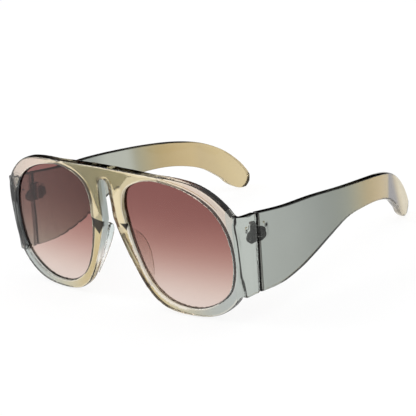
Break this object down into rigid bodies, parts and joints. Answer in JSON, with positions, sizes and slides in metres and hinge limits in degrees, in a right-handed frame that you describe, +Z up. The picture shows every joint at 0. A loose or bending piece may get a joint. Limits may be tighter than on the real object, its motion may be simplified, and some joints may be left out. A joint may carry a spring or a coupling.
{
  "type": "sunglasses",
  "caption": "Oversized sunglasses with a translucent one-piece front, keyhole bridge, gradient lenses, clear nose pads and wide paddle temples on leaf hinges.",
  "frame": {"origin": "middle of the bounding box on the ground, with the open glasses resting on the low points of the two rims and on the two temple tips", "axes": "+X to the wearer's left, +Y from the front back along the open temples, +Z up"},
  "size_m": [0.148, 0.148, 0.0665],
  "materials": {
    "front_plastic": "polished translucent acetate, champagne at the bridge, pink and grey outward",
    "temple_plastic": "polished translucent acetate, grey fading to beige toward the tip",
    "lens": "polished lens with a rose-brown gradient, darker at the top",
    "pad_plastic": "clear polished plastic",
    "hinge_steel": "satin",
    "screw_steel": "satin"
  },
  "bodies": {
    "front": {"front_frame": "front_plastic", "lens_left": "lens", "lens_right": "lens", "nose_pad_left": "pad_plastic", "nose_pad_right": "pad_plastic", "hinge_front_leaf_left": "hinge_steel", "hinge_front_leaf_right": "hinge_steel", "hinge_screw_left": "screw_steel", "hinge_screw_right": "screw_steel"},
    "temple_left": {"temple_left": "temple_plastic", "hinge_temple_leaf_left": "hinge_steel"},
    "temple_right": {"temple_right": "temple_plastic", "hinge_temple_leaf_right": "hinge_steel"}
  },
  "joints": [
    {"name": "temple_left_fold", "type": "hinge", "parent": "front", "child": "temple_left", "pos_m": [0.0684, -0.05386, 0.03856], "axis": [0, 0.1068, 0.9943], "range_deg": [0, 84.5]},
    {"name": "temple_right_fold", "type": "hinge", "parent": "front", "child": "temple_right", "pos_m": [-0.0684, -0.05386, 0.03856], "axis": [0, -0.1068, -0.9943], "range_deg": [0, 77]}
  ]
}
